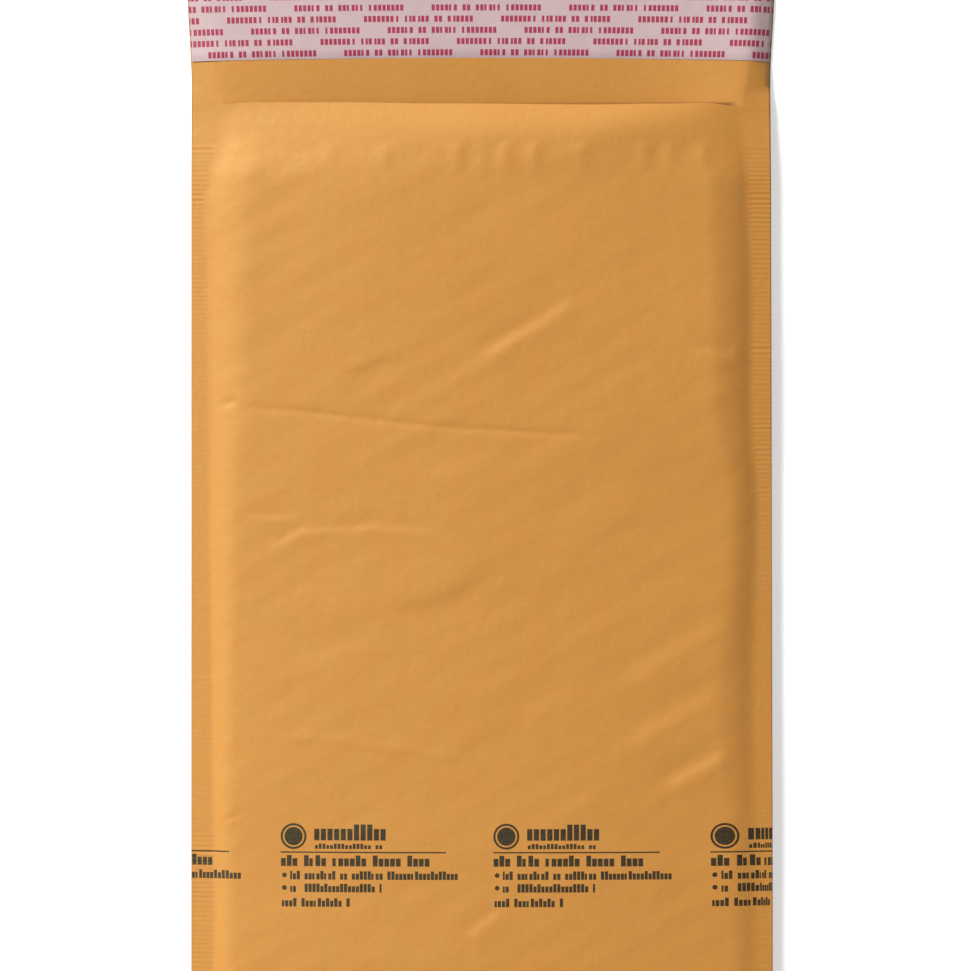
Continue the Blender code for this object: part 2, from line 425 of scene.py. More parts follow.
def front_climb(x, y):
    """How far the front panel has climbed: 0 in a side seam and 1 along the crown of the bag."""
    below = (MOUTH_Y - y) / MM
    right = smooth(0.5 + x / SIDES_MEET)
    crown = CROWN_SHIFT * smooth(1.0 - below * MM / CROWN_LENGTH)
    hollows = [through(points, below) * MM for points in HOLLOW_WIDTHS]
    from_left = rounded_start(SEAM_X + x, hollows[0]) / (SEAM_X + crown - hollows[0] / 2)
    from_right = rounded_start(SEAM_X - x, hollows[1]) / (SEAM_X - crown - hollows[1] / 2)
    gentle = ease_out(np.where(x < crown, from_left, from_right), 2.0)
    climbed = gentle
    for side, share in enumerate((1.0 - right, right)):
        edge = share * through(EDGE_SHARES[side], below)
        inward = rounded_start(SEAM_X - np.abs(x), hollows[side])
        rounded = ease_out(inward / (through(EDGE_WIDTHS[side], below) * MM), EDGE_POWERS[side])
        climbed = climbed + edge * (rounded - gentle)
    return climbed


def back_drop(x, y):
    """How far the back panel has come down: 0 in a side seam and 1 where it lies flat."""
    near_mouth = smooth(1.0 - (MOUTH_Y - y) / BACK_EDGE_LENGTH)
    width = SHOULDER_WIDTH + (BACK_EDGE_MOUTH - SHOULDER_WIDTH) * near_mouth
    power = BACK_EDGE_POWER - BACK_EDGE_SOFTER * near_mouth
    return ease_out((SEAM_X - np.abs(x)) / width, power)


def front_middle(y):
    """Height of the front panel's outside along the middle of the bag."""
    top = BODY_THICKNESS - FRONT_SLACK
    climbed = ease_out((y - FOLD_END_Y) / FOLD_EASE, 2.0)
    height = FOLD_HEIGHT + (top - FOLD_HEIGHT) * climbed
    dropped = np.maximum((y - LINING_END_Y) / LINING_INSET, 0.0) ** MOUTH_DROP_POWER
    return height - (top - MOUTH_HEIGHT) * dropped


def crimps(x, y):
    """The pressed lines across the side seams, dense in places and faint in others."""
    below = (MOUTH_Y - y) / MM
    left = through(CRIMPS_LEFT, below)
    right = through(CRIMPS_RIGHT, below)
    line = np.floor(below * MM / CRIMP_PITCH + 0.25)
    patchy = 0.85 + 0.4 * soft_noise(below, np.sign(x) * 9.0, 6.5, 1.0, 41)
    each = 0.8 + 0.4 * soft_noise(line, np.sign(x) * 5.0, 1.0, 1.0, 43)
    strength = np.where(x < 0, left, right) * np.clip(patchy, 0.0, 1.2) * each
    inside = smooth((np.abs(x) - SEAM_X + CRIMP_REACH) / CRIMP_REACH)
    stray = CRIMP_STRAY * soft_noise(below, np.sign(x) * 3.0, 4.0, 1.0, 47)
    wave = np.sin(2 * math.pi * (below * MM / CRIMP_PITCH + stray))
    return CRIMP_DEPTH * strength * inside * np.sign(wave) * np.abs(wave) ** CRIMP_SHARPNESS


def middle_and_half(x, y, lines=1.0):
    """Height of the bag's middle plane, and half its thickness."""
    climbed = front_climb(x, y)
    dropped = back_drop(x, y)
    near_mouth = smooth(1.0 - (MOUTH_Y - y) / SEAM_DIP_LENGTH)
    wander = SEAM_WANDER * soft_noise(y / MM, np.sign(x) * 7.0, 45.0, 1.0, 51)
    pressed = SEAM_LEVEL + SEAM_SKEW * x / HALF_WIDTH + wander * (1.0 - near_mouth)
    inward = np.maximum(SEAM_X - np.abs(x), 0.0)
    eased = SEAM_TILT_EASE * (1.0 - np.exp(-inward / SEAM_TILT_EASE))
    below = (MOUTH_Y - y) / MM
    width = np.where(x < 0, through(SEAM_LEFT, below), through(SEAM_RIGHT, below)) * MM
    tilted = np.minimum(HALF_WIDTH - np.abs(x), SEAM_WIDTH) * width / SEAM_WIDTH + eased
    right = smooth(0.5 + x / SIDES_MEET)
    dip = SEAM_DIP_LEFT + (SEAM_DIP_RIGHT - SEAM_DIP_LEFT) * right
    tilt = SEAM_TILT_LEFT + (SEAM_TILT_RIGHT - SEAM_TILT_LEFT) * right
    pressed += tilt * tilted - dip * near_mouth
    pressed += lines * crimps(x, y)
    unlined = smooth(1.0 - (MOUTH_Y - y) / LINING_INSET)
    half_seam = SEAM_THICKNESS / 2 * (1.0 - SEAM_THINNER * unlined)
    low = (pressed - half_seam) * (1.0 - dropped)
    low += BACK_WAVES * dropped * (1.0 + soft_noise(x / MM, y / MM, 11.0, 9.0, 61))
    low += BACK_LIFT * dropped * np.clip(1.0 - (MOUTH_Y - y) / BACK_LIFT_LENGTH, 0.0, 1.0) ** 2
    high = (pressed + half_seam) * (1.0 - climbed) + front_middle(y) * climbed
    high += front_relief(across(x, y), y) * smooth(climbed * RELIEF_STEEPNESS)
    return (low + high) / 2, (high - low) / 2


def turned_down(past, slope, ease):
    """How far a side has turned down at a distance past its bend, easing into its slope."""
    past = np.maximum(past, 0.0)
    return slope * past * past / (past + ease)


def flap_underside(x, y):
    """Height of the flap's underside, which leaves the back panel at the mouth."""
    middle, half = middle_and_half(x, np.full_like(y, MOUTH_Y))
    at_mouth = middle - half
    out = y - MOUTH_Y
    level = FLAP_HEIGHT - FLAP_DOME * (x - FLAP_CROWN_X) ** 2
    level = level + FLAP_WAVES * soft_noise(x / MM, y / MM, 24.0, 15.0, 71)
    flat = at_mouth + (level - at_mouth) * ease_out(out / FLAP_RISE, FLAP_RISE_POWER)
    width = np.clip(CURL_RIGHT_RATE * (out - CURL_RIGHT_START), 0.0, CURL_RIGHT_WIDTH)
    right = turned_down(x - HALF_WIDTH + width, CURL_RIGHT_SLOPE, CURL_RIGHT_EASE)
    bend = turned_down(x - HALF_WIDTH + BEND_RIGHT_WIDTH, BEND_RIGHT_SLOPE, BEND_EASE)
    right += bend * smooth(out / BEND_RIGHT_ONSET)
    left = turned_down(-x - HALF_WIDTH + CURL_LEFT_WIDTH, CURL_LEFT_SLOPE, BEND_EASE)
    left *= smooth(out / CURL_LEFT_ONSET)
    return np.maximum(flat - right - left, FLAP_LOWEST)


def flap_spread(y):
    """How much wider the flap is than the bag, as a share of its X."""
    out = y - MOUTH_Y - FLAP_SPREAD_START
    return FLAP_SPREAD * smooth(out / (FLAP_LENGTH - FLAP_SPREAD_START))


def layer_points(x, s, depth, lines=1.0):
    """Points of a layer of the folded sheet, at X and at distance s along the blank."""
    on_fold = (s > FRONT_RUN) & (s < BACK_RUN)
    on_flap = s > FLAP_RUN
    angle = np.clip(math.pi * (0.5 - (s - FRONT_RUN) / FOLD_RUN), -math.pi / 2, math.pi / 2)
    y = np.where(s <= FRONT_RUN, MOUTH_Y - s, FOLD_END_Y + (s - BACK_RUN))
    y = np.where(on_fold, FOLD_END_Y, y)
    middle, half = middle_and_half(x, np.minimum(y, MOUTH_Y), lines)
    inset = depth(half)
    z = middle + np.sin(angle) * (half - inset)
    z = np.where(on_flap, flap_underside(x, np.maximum(y, MOUTH_Y)) + inset, z)
    place = across(x, y) * (1.0 + flap_spread(y))
    fold_y = BOTTOM_Y + inset + (FOLD_LENGTH - inset) * (1.0 - np.cos(angle))
    y = np.where(on_fold, fold_y, y)
    stray = through(LIP_LINE, x / MM) * MM * np.exp(-s / LIP_FADE)
    y = y + np.where(s < FRONT_RUN, stray, 0.0)
    return np.stack([place, y, z], axis=1)


def steps(start, end, cell):
    """Evenly spaced values from start to end, about a cell apart, without the last."""
    count = max(1, round(abs(end - start) / cell))
    return list(np.linspace(start, end, count + 1)[:-1])


def blank_columns():
    """X of the lines along the sheet: fine in the seams and the shoulders."""
    beside = [SEAM_X + offset * MM for offset in SEAM_LINES]
    half = steps(HALF_WIDTH, beside[0], SEAM_CELL) + beside[:-1]
    half += steps(beside[-1], SEAM_X - SHOULDER_WIDTH, SHOULDER_CELL)
    half += steps(SEAM_X - SHOULDER_WIDTH, 0.0, BODY_CELL)
    return [-x for x in half] + [0.0] + half[::-1]


def sheet_rows():
    """Distance along the blank of the lines across the sheet."""
    rows = steps(0.0, LINING_INSET, MOUTH_CELL)
    rows += steps(LINING_INSET, FRONT_RUN, CRIMP_PITCH)
    rows += steps(FRONT_RUN, BACK_RUN, FOLD_CELL)
    back = steps(BACK_RUN, FLAP_RUN - LINING_INSET, CRIMP_PITCH)
    rows += back[::BACK_ROWS_SKIPPED]
    rows += steps(FLAP_RUN - LINING_INSET, FLAP_RUN, BACK_MOUTH_CELL)
    rows += steps(FLAP_RUN, SHEET_RUN, FLAP_CELL)
    return rows + [SHEET_RUN]


def make_blank(columns, rows):
    """A flat grid with a vertex at each X and each distance along the blank."""
    last_column = len(columns) - 1
    last_row = len(rows) - 1
    to_cells = Matrix.Translation((last_column / 2, last_row / 2, 0.0))
    to_cells @= Matrix.Diagonal((last_column / 2, last_row / 2, 1.0, 1.0))
    blank = bmesh.new()
    bmesh.ops.create_grid(
        blank, x_segments=last_column, y_segments=last_row, size=1.0, matrix=to_cells
    )
    for vertex in blank.verts:
        vertex.co = (columns[round(vertex.co.x)], rows[round(vertex.co.y)], 0.0)
    return blank


def cut_seams(blank):
    """Divides the cells of the seams again, for the pressed lines."""
    def long_edges(low, high, cuts):
        chosen = []
        for edge in blank.edges:
            a, b = edge.verts
            along = abs(a.co.x - b.co.x) < 1e-7
            if along and abs(a.co.x) > CRIMPS_END and low < (a.co.y + b.co.y) / 2 < high:
                chosen.append(edge)
        bmesh.ops.subdivide_edges(blank, edges=chosen, cuts=cuts, use_grid_fill=True)

    long_edges(LINING_INSET, FRONT_RUN, CRIMP_CUTS)
    long_edges(BACK_RUN, FLAP_RUN - LINING_INSET, CRIMP_CUTS * BACK_ROWS_SKIPPED - 1)


def near_crease(x, below):
    """Whether a point of the front panel lies close to a sharp crease or the first bubbles."""
    if FIRST_ROW_NEAR < below < FIRST_ROW_FAR:
        return True
    for points, _, _, width in CREASES:
        if width > SHARP_WIDTH:
            continue
        reach = CREASE_WIDTHS * width + CREASE_MARGIN
        for (ax, ay), (bx, by) in zip(points, points[1:]):
            length = math.dist((ax, ay), (bx, by))
            dx, dy = (bx - ax) / length, (by - ay) / length
            t = min(max((x - ax) * dx + (below - ay) * dy, 0.0), length)
            if math.hypot(x - ax - t * dx, below - ay - t * dy) < reach:
                return True
    return False


def cut_creases(blank):
    """Divides the cells along the sharp creases again."""
    blank.edges.index_update()
    chosen = set()
    for face in blank.faces:
        centre = face.calc_center_median()
        if centre.y < FRONT_RUN and near_crease(centre.x / MM, centre.y / MM):
            chosen.update(edge.index for edge in face.edges)
    edges = [
        edge for edge in blank.edges
        if edge.index in chosen and abs(edge.verts[0].co.x) < CRIMPS_END
    ]
    bmesh.ops.subdivide_edges(blank, edges=edges, cuts=1, use_grid_fill=True)


def mesh_from_blank(name, blank, place, outside, inside):
    """A closed sheet: the blank's outside and inside skins, joined round its rim."""
    blank.verts.ensure_lookup_table()
    blank.verts.index_update()
    flat = np.array([(v.co.x, v.co.y) for v in blank.verts])
    count = len(flat)
    faces = [[v.index for v in face.verts] for face in blank.faces]
    rim = [
        (loop.vert.index, loop.link_loop_next.vert.index)
        for edge in blank.edges if edge.is_boundary for loop in edge.link_loops
    ]
    blank.free()
    points = np.vstack([place(flat[:, 0], flat[:, 1], d) for d in (outside, inside)])
    under = [[i + count for i in reversed(face)] for face in faces]
    sides = [(b, a, a + count, b + count) for a, b in rim]
    mesh = bpy.data.meshes.new(name)
    mesh.from_pydata(points.tolist(), [], faces + under + sides)
    layer = mesh.uv_layers.new(name="sheet")
    corners = np.empty(len(mesh.loops), dtype=np.int32)
    mesh.loops.foreach_get("vertex_index", corners)
    inner = corners >= count
    inner[-4 * len(sides):] = True
    uv = flat[corners % count] / MM
    uv[inner, 0] += INNER_SKIN
    layer.data.foreach_set("uv", (uv / 1000.0).ravel().astype(np.float32))
    solid = bmesh.new()
    solid.from_mesh(mesh)
    bmesh.ops.triangulate(solid, faces=solid.faces[:])
    if solid.calc_volume(signed=True) < 0:
        bmesh.ops.reverse_faces(solid, faces=solid.faces[:])
    solid.to_mesh(mesh)
    solid.free()
    mesh.shade_smooth()
    mesh.set_sharp_from_angle(angle=math.radians(60))
    return mesh


def add_piece(name, mesh, material, node):
    """A piece that stands for a node of the frame."""
    mesh.materials.append(material)
    piece = bpy.data.objects.new(name, mesh)
    bpy.context.scene.collection.objects.link(piece)
    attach(piece, "root")
    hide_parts(node)


def constant(value):
    """A depth that is the same at every thickness of the bag."""
    return lambda half: value + half * 0.0


class Nodes:
    """A short way to build a material's node tree."""

    def __init__(self, name):
        self.material = bpy.data.materials.new(name)
        self.material.use_nodes = True
        self.tree = self.material.node_tree
        self.shader = self.tree.nodes["Principled BSDF"]

    def put(self, socket, value):
        """Links a socket to another, or sets it."""
        if isinstance(value, bpy.types.NodeSocket):
            self.tree.links.new(value, socket)
        elif value is not None:
            socket.default_value = value

    def shade(self, name, value):
        """Links or sets one input of the shader."""
        self.put(self.shader.inputs[name], value)

    def math(self, operation, a, b=None, c=None):
        """One Math node."""
        node = self.tree.nodes.new("ShaderNodeMath")
        node.operation = operation
        for socket, value in zip(node.inputs, (a, b, c)):
            self.put(socket, value)
        return node.outputs[0]

    def sheet(self):
        """The two coordinates along the blank, in millimetres."""
        source = self.tree.nodes.new("ShaderNodeUVMap")
        source.uv_map = "sheet"
        scale = self.tree.nodes.new("ShaderNodeVectorMath")
        scale.operation = "SCALE"
        scale.inputs["Scale"].default_value = 1000.0
        self.tree.links.new(source.outputs[0], scale.inputs[0])
        split = self.tree.nodes.new("ShaderNodeSeparateXYZ")
        self.tree.links.new(scale.outputs[0], split.inputs[0])
        return split.outputs[0], split.outputs[1]

    def point(self, x, y, z=0.0):
        """A vector of three numbers."""
        node = self.tree.nodes.new("ShaderNodeCombineXYZ")
        for socket, value in zip(node.inputs, (x, y, z)):
            self.put(socket, value)
        return node.outputs[0]

    def noise(self, vector, scale, detail=3.0, roughness=0.55):
        """The height of a Noise texture, about 0 to 1."""
        node = self.tree.nodes.new("ShaderNodeTexNoise")
        self.put(node.inputs["Vector"], vector)
        node.inputs["Scale"].default_value = scale
        node.inputs["Detail"].default_value = detail
        node.inputs["Roughness"].default_value = roughness
        return node.outputs["Fac"]

    def random(self, vector):
        """A different number from 0 to 1 for each whole-numbered vector."""
        node = self.tree.nodes.new("ShaderNodeTexWhiteNoise")
        node.noise_dimensions = "2D"
        self.put(node.inputs["Vector"], vector)
        return node.outputs["Value"]

    def spread(self, value, low, high, new_low, new_high):
        """Maps one range to another, clamped."""
        node = self.tree.nodes.new("ShaderNodeMapRange")
        for socket, number in zip(node.inputs, (value, low, high, new_low, new_high)):
            self.put(socket, number)
        return node.outputs[0]

    def mix(self, amount, a, b, blend="MIX"):
        """Mixes two colours."""
        node = self.tree.nodes.new("ShaderNodeMix")
        node.data_type = "RGBA"
        node.blend_type = blend
        self.put(node.inputs[0], amount)
        self.put(node.inputs[6], a)
        self.put(node.inputs[7], b)
        return node.outputs[2]

    def bump(self, height, distance, normal=None):
        """Turns a height in units of the distance into a normal."""
        node = self.tree.nodes.new("ShaderNodeBump")
        node.inputs["Distance"].default_value = distance
        self.put(node.inputs["Height"], height)
        self.put(node.inputs["Normal"], normal)
        return node.outputs[0]

    def between(self, value, low, high, soft):
        """1 between two numbers and 0 outside them, with soft edges."""
        up = self.spread(value, low - soft, low + soft, 0.0, 1.0)
        down = self.spread(value, high - soft, high + soft, 1.0, 0.0)
        return self.math("MULTIPLY", up, down)

    def distance(self, u, v, at_u, at_v):
        """Distance from a point."""
        along = self.math("POWER", self.math("SUBTRACT", u, at_u), 2.0)
        across_it = self.math("POWER", self.math("SUBTRACT", v, at_v), 2.0)
        return self.math("SQRT", self.math("ADD", along, across_it))

    def largest(self, masks):
        """The largest of several masks."""
        total = masks[0]
        for mask in masks[1:]:
            total = self.math("MAXIMUM", total, mask)
        return total


# The sheet's inner skin has its texture coordinates this far along X, in millimetres
INNER_SKIN = 1000.0

# The paper's colours, the tint of its sheen, and the ink
KRAFT_WARM = (0.548, 0.222, 0.038, 1)
KRAFT_PALE = (0.538, 0.233, 0.042, 1)
KRAFT_DEEP = (0.499, 0.197, 0.035, 1)
KRAFT_FIBRE = (0.582, 0.259, 0.055, 1)
# A dark brown for flecks and cut edges, also used as painted shade inside the mouth and on the
# right edge
KRAFT_DARK_AND_SHADE = (0.160, 0.045, 0.006, 1)
KRAFT_SHEEN = (1.0, 1.0, 0.62, 1)
KRAFT_IOR = 1.5
INK = (0.003, 0.001, 0.002, 1)

# The printed block on the front: where it starts, how often it repeats, and its lines, each with
# its left, right, top and bottom, the width of a mark and the share of that width that is inked
PRINT_START = -63.4
PRINT_PERIOD = 67.3
PRINT_TOP = 228.0
PRINT_LEFT_END = -70.0
PRINT_LEFT_SHIFT = 1.2
PRINT_LINES = (
    (10.4, 33.5, 0.6, 5.7, 2.1, 0.86),
    (10.6, 33.0, 6.7, 8.4, 1.2, 0.82),
    (0.0, 47.3, 10.4, 13.9, 1.82, 0.90),
    (3.0, 58.5, 15.4, 18.1, 1.25, 0.88),
    (3.0, 32.0, 19.4, 22.1, 1.25, 0.88),
    (0.4, 22.8, 24.0, 26.7, 1.3, 0.86),
)
PRINT_RULE = (0.0, 52.4, 9.25, 9.7)
EMBLEM_X = 4.1
EMBLEM_DOWN = 4.4
EMBLEM_DISC = 2.9
EMBLEM_RING = (3.4, 4.1)
BULLET_X = 1.2
BULLETS_DOWN = (16.7, 20.7)
BULLET_RADIUS = 0.75
MARK_SEED = 5.0
SPACE_SHARE = 0.13
NARROW_BELOW = 0.12
NARROW_END = 0.7
TALL_FROM = 0.62

# The painted shadow inside the mouth, laid along the fold line, and the dark cut edges, the right
# one
# partly painted shade: from where to where past the line or in from the sheet's edge, and how dark
MOUTH_SHADE_BAND = (-1.2, 0.3)
MOUTH_SHADE_SOFT = 0.35
MOUTH_SHADE_DARKNESS = 0.8
# The right edge lies on the side away from the lamp: its darkening is partly the cut edge's colour
# and partly painted shade
CUT_AND_SHADE_RIGHT = (0.6, 0.2, 0.85)
CUT_LEFT = (0.35, 0.1, 0.6)

# The colours of the film and the adhesive
FILM_COLOURS = ((0.78, 0.80, 0.80, 1), (0.86, 0.88, 0.88, 1))
ADHESIVE_COLOURS = ((0.62, 0.52, 0.34, 1), (0.74, 0.66, 0.48, 1))

# The liner's marks: rows up from its edge, with every other row turned over and shifted
LINER_PAPER = (0.525, 0.375, 0.375, 1)
LINER_PALE = (0.575, 0.420, 0.420, 1)
LINER_RED = (0.350, 0.024, 0.070, 1)
ROW_FIRST = 0.75
ROW_PITCH = 3.71
MARK_HEIGHT = 2.15
PHRASE_PERIOD = 43.1
PHRASE_LENGTH = 34.6
PHRASE_START = -86.5
PHRASE_STEP = 6.96
PHRASE_OTHER = -14.5
MARK_CELL = 1.384
MARK_SPACES = (6.0, 9.0, 16.0)

# The liner's shape: its lower edge is pressed to the flap, bowed, and loose at the left
LINER_PRESS = 0.36 * MM
LINER_PRESS_WIDTH = 1.8
LINER_LIFT = 0.25 * MM
LINER_LOOSE_FROM = 78.0
LINER_LOOSE_SIZE = (12.0, 6.0)
LINER_BOW = 1.0 * MM
LINER_BOW_ENDS = 0.4 * MM
LINER_BOW_LOST = 0.9
LINER_WIDTH_MM = (LINER_HIGH[1] - LINER_LOW[1]) / MM

# The strips' distance from the sides, their two faces' height over the flap's underside, and cells
LINER_EDGE_INSET = 0.3 * MM
LINER_DEPTHS = (0.6 * MM, 0.7 * MM)
LINER_CELL = 1.4 * MM
ADHESIVE_EASE = 1.6 * MM
ADHESIVE_EDGE_INSET = 3.0 * MM
ADHESIVE_DEPTHS = (0.3 * MM, 0.5 * MM)
ADHESIVE_CELL = 3.0 * MM


def marks(nodes, u, v, line, seed):
    """A line of small plain blocks in groups, some narrow and some tall."""
    left, right, top, bottom, cell, fill = line
    step = nodes.math("DIVIDE", u, cell)
    number = nodes.math("FLOOR", step)
    place = nodes.math("FRACT", step)
    chance = nodes.random(nodes.point(number, seed))
    shape = nodes.random(nodes.point(number, seed + 0.5))
    level = nodes.spread(v, top, bottom, 0.0, 1.0)
    start = nodes.spread(nodes.math("GREATER_THAN", shape, TALL_FROM), 0.0, 1.0, 0.28, 0.0)
    narrow = nodes.math("MULTIPLY", nodes.math("LESS_THAN", shape, NARROW_BELOW), 1.0 - NARROW_END)
    block = nodes.between(nodes.math("ADD", place, narrow), 0.06, fill, 0.03)
    block = nodes.math("MULTIPLY", block, nodes.math("GREATER_THAN", level, start))
    block = nodes.math("MULTIPLY", block, nodes.math("GREATER_THAN", chance, SPACE_SHARE))
    block = nodes.math("MULTIPLY", block, nodes.between(u, left, right, 0.05))
    return nodes.math("MULTIPLY", block, nodes.between(v, top, bottom, 0.06))


def print_mask(nodes, x, s):
    """Where the front panel is printed: an emblem, bullets, lines of marks and a rule."""
    at_left = nodes.math("LESS_THAN", x, PRINT_LEFT_END)
    moved = nodes.math("SUBTRACT", x, PRINT_START)
    moved = nodes.math("MULTIPLY_ADD", at_left, PRINT_LEFT_SHIFT, moved)
    u = nodes.math("FLOORED_MODULO", moved, PRINT_PERIOD)
    v = nodes.math("SUBTRACT", s, PRINT_TOP)
    masks = [
        marks(nodes, u, v, line, MARK_SEED + index * 3.0) for index, line in enumerate(PRINT_LINES)
    ]
    left, right, top, bottom = PRINT_RULE
    rule = nodes.between(v, top, bottom, 0.08)
    rule = nodes.math("MULTIPLY", nodes.between(u, left, right, 0.05), rule)
    reach = nodes.distance(u, v, EMBLEM_X, EMBLEM_DOWN)
    masks += [rule, nodes.between(reach, *EMBLEM_RING, 0.08)]
    masks.append(nodes.math("LESS_THAN", reach, EMBLEM_DISC))
    for down in BULLETS_DOWN:
        away = nodes.distance(u, v, BULLET_X, down)
        masks.append(nodes.math("LESS_THAN", away, BULLET_RADIUS))
    on_outside = nodes.math("LESS_THAN", x, INNER_SKIN / 2)
    return nodes.math("MULTIPLY", nodes.largest(masks), on_outside)


def mouth_shade_strength(nodes, x):
    """How dark the painted shadow inside the mouth is at an X."""
    total = MOUTH_SHADE_LINE[0][1]
    for (start, low), (end, high) in zip(MOUTH_SHADE_LINE, MOUTH_SHADE_LINE[1:]):
        total = nodes.math("ADD", total, nodes.spread(x, start, end, 0.0, high - low))
    return total


def kraft_material():
    """Golden brown kraft paper: cloudy fibres, a soft sheen, dark cut edges with painted shade on
    the right one, painted shadow inside the mouth, and black print.
    """
    nodes = Nodes("kraft_paper")
    x, s = nodes.sheet()
    place = nodes.point(x, s)
    stretched = nodes.point(nodes.math("MULTIPLY", x, 0.35), s)
    cloud = nodes.noise(place, 0.09, 3.0)
    mottle = nodes.noise(place, 0.42, 4.0, 0.6)
    fibre = nodes.noise(stretched, 2.2, 4.0, 0.7)
    tone = nodes.mix(nodes.spread(cloud, 0.35, 0.65, 0.0, 1.0), KRAFT_WARM, KRAFT_PALE)
    tone = nodes.mix(nodes.spread(mottle, 0.3, 0.7, 0.0, 0.30), tone, KRAFT_DEEP)
    tone = nodes.mix(nodes.spread(fibre, 0.35, 0.75, 0.0, 0.22), tone, KRAFT_FIBRE)
    fleck = nodes.spread(nodes.noise(place, 0.8, 2.0), 0.74, 0.79, 0.0, 0.6)
    tone = nodes.mix(fleck, tone, KRAFT_DARK_AND_SHADE)
    inner = nodes.math("GREATER_THAN", x, INNER_SKIN / 2)
    # Painted shadow inside the mouth: a dark band on the inner skin along the fold line, darkest
    # where the mouth opens widest
    before, after = (FLAP_RUN / MM + past for past in MOUTH_SHADE_BAND)
    mouth_shade = nodes.between(s, before, after, MOUTH_SHADE_SOFT)
    mouth_shade = nodes.math("MULTIPLY", mouth_shade, nodes.math("MULTIPLY", inner, MOUTH_SHADE_DARKNESS))
    strength = mouth_shade_strength(nodes, nodes.math("SUBTRACT", x, INNER_SKIN))
    tone = nodes.mix(nodes.math("MULTIPLY", mouth_shade, strength), tone, KRAFT_DARK_AND_SHADE)
    # The dark cut edges; the right one is darker and wider, partly painted shade on the side away
    # from the lamp
    side = nodes.math("SUBTRACT", x, nodes.math("MULTIPLY", inner, INNER_SKIN))
    edge = HALF_WIDTH / MM
    start, end, dark = CUT_AND_SHADE_RIGHT
    cut_and_shade_right = nodes.spread(side, edge - start, edge - end, 0.0, dark)
    start, end, dark = CUT_LEFT
    cut_left = nodes.spread(side, start - edge, end - edge, 0.0, dark)
    tone = nodes.mix(nodes.math("MAXIMUM", cut_and_shade_right, cut_left), tone, KRAFT_DARK_AND_SHADE)
    ink = print_mask(nodes, x, s)
    worn = nodes.spread(nodes.noise(place, 1.6, 3.0), 0.35, 0.6, 0.9, 1.0)
    tone = nodes.mix(nodes.math("MULTIPLY", ink, worn), tone, INK)
    nodes.shade("Base Color", tone)
    nodes.shade("Roughness", nodes.spread(mottle, 0.3, 0.7, 0.58, 0.64))
    nodes.shade("Specular IOR Level", 0.7)
    nodes.shade("IOR", KRAFT_IOR)
    nodes.shade("Specular Tint", KRAFT_SHEEN)
    grain = nodes.bump(nodes.noise(stretched, 3.0, 5.0, 0.7), 0.00002)
    cockle = nodes.bump(nodes.noise(place, 0.33, 3.0), 0.00010, grain)
    nodes.shade("Normal", cockle)
    return nodes.material


def liner_marks(nodes, x, s):
    """Rows of small plain marks in groups, every other row turned over."""
    up = nodes.math("SUBTRACT", s, (FLAP_RUN + LINER_LOW[1] - MOUTH_Y) / MM + ROW_FIRST)
    row = nodes.math("FLOOR", nodes.math("DIVIDE", up, ROW_PITCH))
    v = nodes.math("FLOORED_MODULO", up, ROW_PITCH)
    other = nodes.math("FLOORED_MODULO", row, 2.0)
    start = nodes.math("MULTIPLY_ADD", row, PHRASE_STEP, PHRASE_START)
    start = nodes.math("MULTIPLY_ADD", other, PHRASE_OTHER, start)
    u = nodes.math("FLOORED_MODULO", nodes.math("SUBTRACT", x, start), PHRASE_PERIOD)
    turn = nodes.math("MULTIPLY_ADD", other, -2.0, 1.0)
    turned = nodes.math("MULTIPLY_ADD", u, turn, nodes.math("MULTIPLY", other, PHRASE_LENGTH))
    step = nodes.math("DIVIDE", turned, MARK_CELL)
    number = nodes.math("FLOOR", step)
    narrow = nodes.math("LESS_THAN", nodes.random(nodes.point(number, 4.0)), NARROW_BELOW)
    place = nodes.math("MULTIPLY_ADD", narrow, 1.0 - NARROW_END, nodes.math("FRACT", step))
    block = nodes.between(place, 0.08, 0.82, 0.05)
    block = nodes.math("MULTIPLY", block, nodes.between(v, 0.05, MARK_HEIGHT - 0.05, 0.1))
    spaces = [nodes.math("COMPARE", number, gap, 0.1) for gap in MARK_SPACES]
    block = nodes.math("SUBTRACT", block, nodes.largest(spaces))
    block = nodes.math("MULTIPLY", block, nodes.math("LESS_THAN", u, PHRASE_LENGTH))
    return nodes.math("MAXIMUM", block, 0.0)


def liner_material():
    """Thin siliconed paper, pinkish white, with rows of small crimson marks on its upper face."""
    nodes = Nodes("liner_paper")
    x, s = nodes.sheet()
    place = nodes.point(x, s)
    cloud = nodes.noise(place, 0.12, 3.0)
    tone = nodes.mix(nodes.spread(cloud, 0.3, 0.7, 0.0, 1.0), LINER_PAPER, LINER_PALE)
    upper = nodes.math("GREATER_THAN", x, INNER_SKIN / 2)
    glyph = liner_marks(nodes, nodes.math("SUBTRACT", x, INNER_SKIN), s)
    tone = nodes.mix(nodes.math("MULTIPLY", glyph, upper), tone, LINER_RED)
    nodes.shade("Base Color", tone)
    nodes.shade("Roughness", 0.6)
    nodes.shade("Specular IOR Level", 0.5)
    nodes.shade("Normal", nodes.bump(nodes.noise(place, 0.5, 3.0), 0.00008))
    return nodes.material


def film_material():
    """Clear polyethylene film, slightly milky."""
    nodes = Nodes("bubble_film")
    x, s = nodes.sheet()
    place = nodes.point(x, s)
    haze = nodes.noise(place, 0.4, 3.0)
    tone = nodes.mix(haze, *FILM_COLOURS)
    nodes.shade("Base Color", tone)
    nodes.shade("Roughness", 0.18)
    nodes.shade("Alpha", 0.45)
    nodes.shade("Normal", nodes.bump(haze, 0.0001))
    return nodes.material


